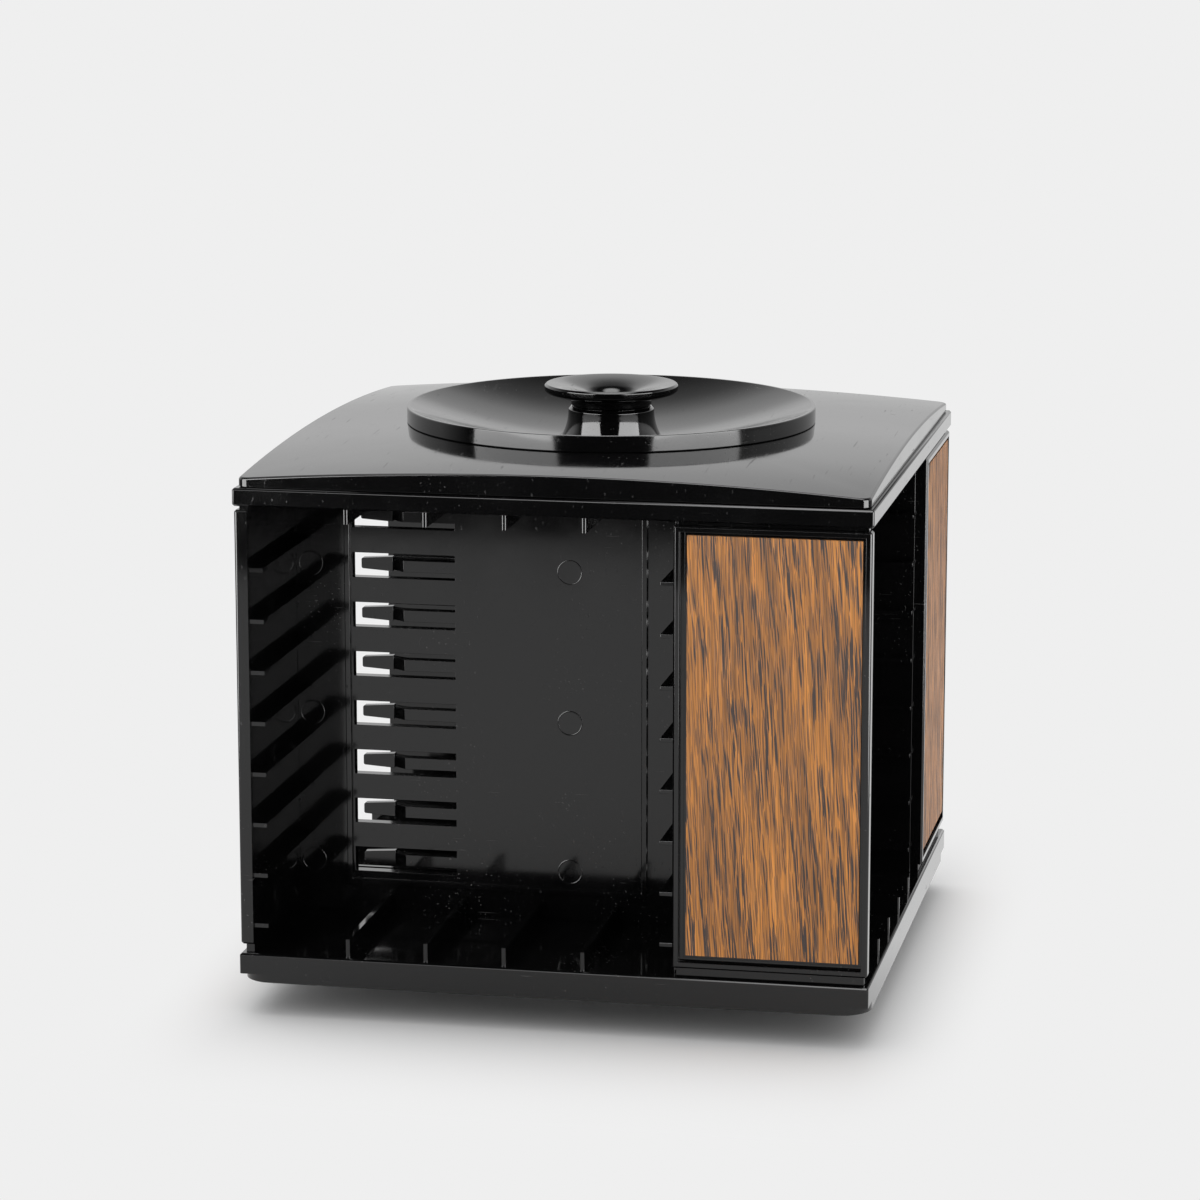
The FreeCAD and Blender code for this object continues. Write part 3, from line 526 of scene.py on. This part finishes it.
def make_lid():
    """Domed lid: rings that run from the round opening to the square side, over the rounded
    edge, down the side and back underneath. The CAD lid's lip and collar, which are hidden
    inside the tower, are left out."""
    half = HALF - 1.0 * MM
    wall, edge, chamfer = 2.0 * MM, 0.6 * MM, 0.3 * MM
    crown_steps, edge_steps, under_steps = 16, 4, 8
    border = rounded_square(half, 2.5 * MM)
    bm = bmesh.new()

    def ring(square_inset, share, level):
        """One ring of vertices. At share 0 it is the round opening, at 1 the square."""
        verts = []
        for x, y in border:
            square = Vector((x, y)) * ((half - square_inset) / half)
            flat = (Vector((x, y)).normalized() * DISH_SEAT).lerp(square, share)
            verts.append(bm.verts.new((flat.x, flat.y, level(flat.length))))
        return verts

    rings = [ring(edge, step / crown_steps, lid_level) for step in range(crown_steps + 1)]
    for step in range(1, edge_steps + 1):
        angle = math.pi / 2 * step / edge_steps
        rings.append(ring(edge * (1 - math.sin(angle)), 1.0,
                          lambda radius: lid_level(radius) - edge * (1 - math.cos(angle))))
    rings.append(ring(0.0, 1.0, lambda radius: FRAME_TOP + chamfer))
    rings.append(ring(chamfer, 1.0, lambda radius: FRAME_TOP))
    rings.append(ring(wall, 1.0, lambda radius: FRAME_TOP))
    rings += [ring(wall, step / under_steps, lambda radius: lid_level(radius) - wall)
              for step in range(under_steps, -1, -1)]
    for index, first in enumerate(rings):
        second = rings[(index + 1) % len(rings)]
        for step in range(len(border)):
            after = (step + 1) % len(border)
            bm.faces.new((first[step], first[after], second[after], second[step]))
    piece = new_piece("lid_moulding", bm)
    even_shading(piece)
    finish_piece(piece, "lid")


def make_ejector_marks(side, turn):
    """Rings left by ejector pins in the mould, a hair proud of the back wall."""
    levels = (0.104, 0.066, 0.028)
    columns = (-0.0040, -0.0698)
    radius, width, proud = 3.0 * MM, 0.22 * MM, 0.06 * MM
    profile = ((radius - width, -proud), (radius - width / 2, proud),
               (radius + width / 2, proud), (radius + width, -proud))
    steps = 48
    bm = bmesh.new()
    for level in levels:
        for column in columns:
            loops = [[bm.verts.new((column + reach * math.cos(2 * math.pi * step / steps),
                                    -BACK_WALL_FACE - height,
                                    level + reach * math.sin(2 * math.pi * step / steps)))
                      for step in range(steps)] for reach, height in profile]
            for index, loop in enumerate(loops):
                after = loops[(index + 1) % len(loops)]
                for step in range(steps):
                    follow = (step + 1) % steps
                    bm.faces.new((loop[step], loop[follow], after[follow], after[step]))
    piece = new_piece(f"ejector_marks_{side}", bm)
    piece.rotation_euler.z = turn
    finish_piece(piece, f"wall_{side}", replaces=False)


# where the dividers on the floor and under the ceiling end, and how tall they are
FLOOR_RIB_END, FLOOR_RIB_HEIGHT = HALF - 1.0 * MM, 4.6 * MM
CEILING_RIB_END, CEILING_RIB_HEIGHT = HALF - 3.5 * MM, 4.1 * MM
RIB_ROUND = 0.45 * MM
BEAD_ROUND = 0.25 * MM

make_dish()
make_knob()
make_lid()
softened_copy("bottom_tray", 0.25 * MM, rounding=rib_end(FLOOR_RIB_END, FLOOR_RIB_HEIGHT),
              round_width=RIB_ROUND)
softened_copy("top_frame", 0.25 * MM, rounding=rib_end(CEILING_RIB_END, CEILING_RIB_HEIGHT),
              round_width=RIB_ROUND)
for number, side in enumerate(SIDES):
    quarter_turn = math.pi / 2 * number
    softened_copy(f"wall_{side}", 0.15 * MM, rounding=bead_edge(quarter_turn),
                  round_width=BEAD_ROUND)
    softened_copy(f"panel_{side}", 0.2 * MM)
    softened_copy(f"wood_inlay_{side}", 0.12 * MM)
    make_ejector_marks(side, quarter_turn)
softened_copy("base_foot", 0.25 * MM)
softened_copy("foot_pads", 0.5 * MM, segments=3)

for node, shown in frame["nodes"].items():
    for socket in shown.material_slots:
        socket.material = MATERIALS[SLOT_OF[node]]


# ---------------------------------------------------------------- stage, light, camera

BACKGROUND = 0.863
SKY_LIGHT = 0.80
SUN_LIGHT = 0.65
OVERHEAD_LIGHT = 4.8


def make_floor():
    """Pale table that ends 0.62 m in front of the axis, where the room is dark. The camera sees
    it lit near the object, with the object's shadow, and as the plain background further off.
    Reflections see it lit in front of the object and white behind."""
    side, front, back = 0.32, -0.62, 3
    mesh = bpy.data.meshes.new("floor")
    mesh.from_pydata([(-side, front, 0), (side, front, 0), (side, back, 0), (-side, back, 0)], [],
                     [(0, 1, 2, 3)])
    floor = bpy.data.objects.new("floor", mesh)
    bpy.context.scene.collection.objects.link(floor)
    material, tree, shader = new_material("pale_table")
    shader.inputs["Base Color"].default_value = (0.87, 0.87, 0.87, 1.0)
    shader.inputs["Roughness"].default_value = 0.9
    shader.inputs["Specular IOR Level"].default_value = 0.0
    parts = add_node(tree, "ShaderNodeSeparateXYZ")
    tree.links.new(object_coordinates(tree), parts.inputs["Vector"])
    beside = span(tree, maths(tree, "ABSOLUTE", parts.outputs["X"], 0.0), 0.077, 0.104, 1.0, 0.0)
    ahead = span(tree, parts.outputs["Y"], -0.146, -0.079)
    behind = span(tree, parts.outputs["Y"], 0.080, 0.165, 1.0, 0.0)
    near = maths(tree, "MULTIPLY", beside, maths(tree, "MULTIPLY", ahead, behind))
    near = maths(tree, "POWER", near, 2.0)
    far_back = span(tree, parts.outputs["Y"], -0.10, 0.02)
    plain = add_node(tree, "ShaderNodeEmission", Color=(*grey(BACKGROUND), 1.0), Strength=1.0)
    white = add_node(tree, "ShaderNodeEmission", Color=(1.0, 1.0, 1.0, 1.0), Strength=1.0)
    lit = shader.outputs[0]
    path = add_node(tree, "ShaderNodeLightPath")
    mirrored = mix_shaders(tree, far_back, lit, white.outputs[0])
    faded = mix_shaders(tree, near, plain.outputs[0], lit)
    seen = mix_shaders(tree, path.outputs["Is Camera Ray"], lit, faded)
    whole = mix_shaders(tree, path.outputs["Is Glossy Ray"], seen, mirrored)
    tree.links.new(whole, tree.nodes["Material Output"].inputs["Surface"])
    mesh.materials.append(material)


def make_world():
    """Even light for surfaces. Gloss sees a dark studio with a bright backdrop behind and a
    bright patch overhead, and the camera sees the plain background."""
    world = bpy.data.worlds.new("studio")
    bpy.context.scene.world = world
    world.use_nodes = True
    tree = world.node_tree
    tree.nodes.clear()
    direction = add_node(tree, "ShaderNodeTexCoord").outputs["Generated"]
    parts = add_node(tree, "ShaderNodeSeparateXYZ")
    tree.links.new(direction, parts.inputs["Vector"])
    dark_front = grey(0.012)
    lowest = -0.15
    levels = ((-0.11, 0.20), (-0.07, 0.72), (0.08, 0.76), (0.135, 0.87), (0.18, 1.0),
              (0.27, 1.04), (0.34, 0.86), (0.48, 0.84), (0.62, 0.32), (0.80, 0.03))
    height = ramp(tree, span(tree, parts.outputs["Z"], lowest, 1.0),
                  [((z - lowest) / (1.0 - lowest), grey(level)) for z, level in levels])
    behind = span(tree, parts.outputs["Y"], -0.25, 0.15)
    overhead = span(tree, parts.outputs["Z"], 0.91, 0.97)
    backdrop = mix(tree, overhead, mix(tree, behind, dark_front, height), grey(OVERHEAD_LIGHT))
    path = add_node(tree, "ShaderNodeLightPath")
    seen = mix(tree, path.outputs["Is Glossy Ray"], grey(SKY_LIGHT), backdrop)
    seen = mix(tree, path.outputs["Is Camera Ray"], seen, grey(BACKGROUND))
    background = add_node(tree, "ShaderNodeBackground")
    output = add_node(tree, "ShaderNodeOutputWorld")
    tree.links.new(seen, background.inputs["Color"])
    tree.links.new(background.outputs["Background"], output.inputs["Surface"])


def aim(thing, target):
    thing.rotation_mode = "QUATERNION"
    thing.rotation_quaternion = (Vector(target) - thing.location).to_track_quat("-Z", "Y")


def make_softbox(name, azimuth, elevation, width, height, radiance):
    """Large soft lamp that shows as a bright panel in the gloss and nowhere else. Azimuth 0 is
    in front."""
    distance, middle = 1.5, 0.07
    lamp = bpy.data.lights.new(name, "AREA")
    lamp.shape = "RECTANGLE"
    lamp.size, lamp.size_y = width, height
    lamp.energy = radiance * math.pi * width * height
    softbox = bpy.data.objects.new(name, lamp)
    bpy.context.scene.collection.objects.link(softbox)
    around, up = math.radians(azimuth), math.radians(elevation)
    softbox.location = (distance * math.sin(around) * math.cos(up),
                        -distance * math.cos(around) * math.cos(up),
                        middle + distance * math.sin(up))
    aim(softbox, (0, 0, middle))
    softbox.visible_diffuse = False
    softbox.visible_camera = False


def make_sun():
    lamp = bpy.data.lights.new("soft_sun", "SUN")
    lamp.energy = SUN_LIGHT
    lamp.angle = math.radians(60)
    sun = bpy.data.objects.new("soft_sun", lamp)
    bpy.context.scene.collection.objects.link(sun)
    sun.location = (-0.35, 0.5, 1.6)
    aim(sun, (0, 0, 0))
    sun.visible_glossy = False


def make_camera():
    """Camera fitted to the photograph. It looks 11 degrees to the left and 11 degrees down."""
    data = bpy.data.cameras.new("camera")
    data.sensor_width = 36.0
    data.lens = 127.24
    data.clip_start, data.clip_end = 0.05, 50.0
    camera = bpy.data.objects.new("camera", data)
    bpy.context.scene.collection.objects.link(camera)
    camera.location = (0.20256, -1.03480, 0.30319)
    yaw, pitch = -0.1960, -0.1987
    view = Vector((math.sin(yaw) * math.cos(pitch), math.cos(yaw) * math.cos(pitch),
                   math.sin(pitch)))
    aim(camera, camera.location + view)
    bpy.context.scene.camera = camera


make_floor()
make_world()
make_softbox("softbox_left", azimuth=-45, elevation=12, width=1.40, height=1.7, radiance=8.8)
make_softbox("softbox_right", azimuth=59.5, elevation=12, width=1.48, height=1.7, radiance=8.8)
make_sun()
make_camera()
bpy.context.scene.view_settings.view_transform = "Standard"
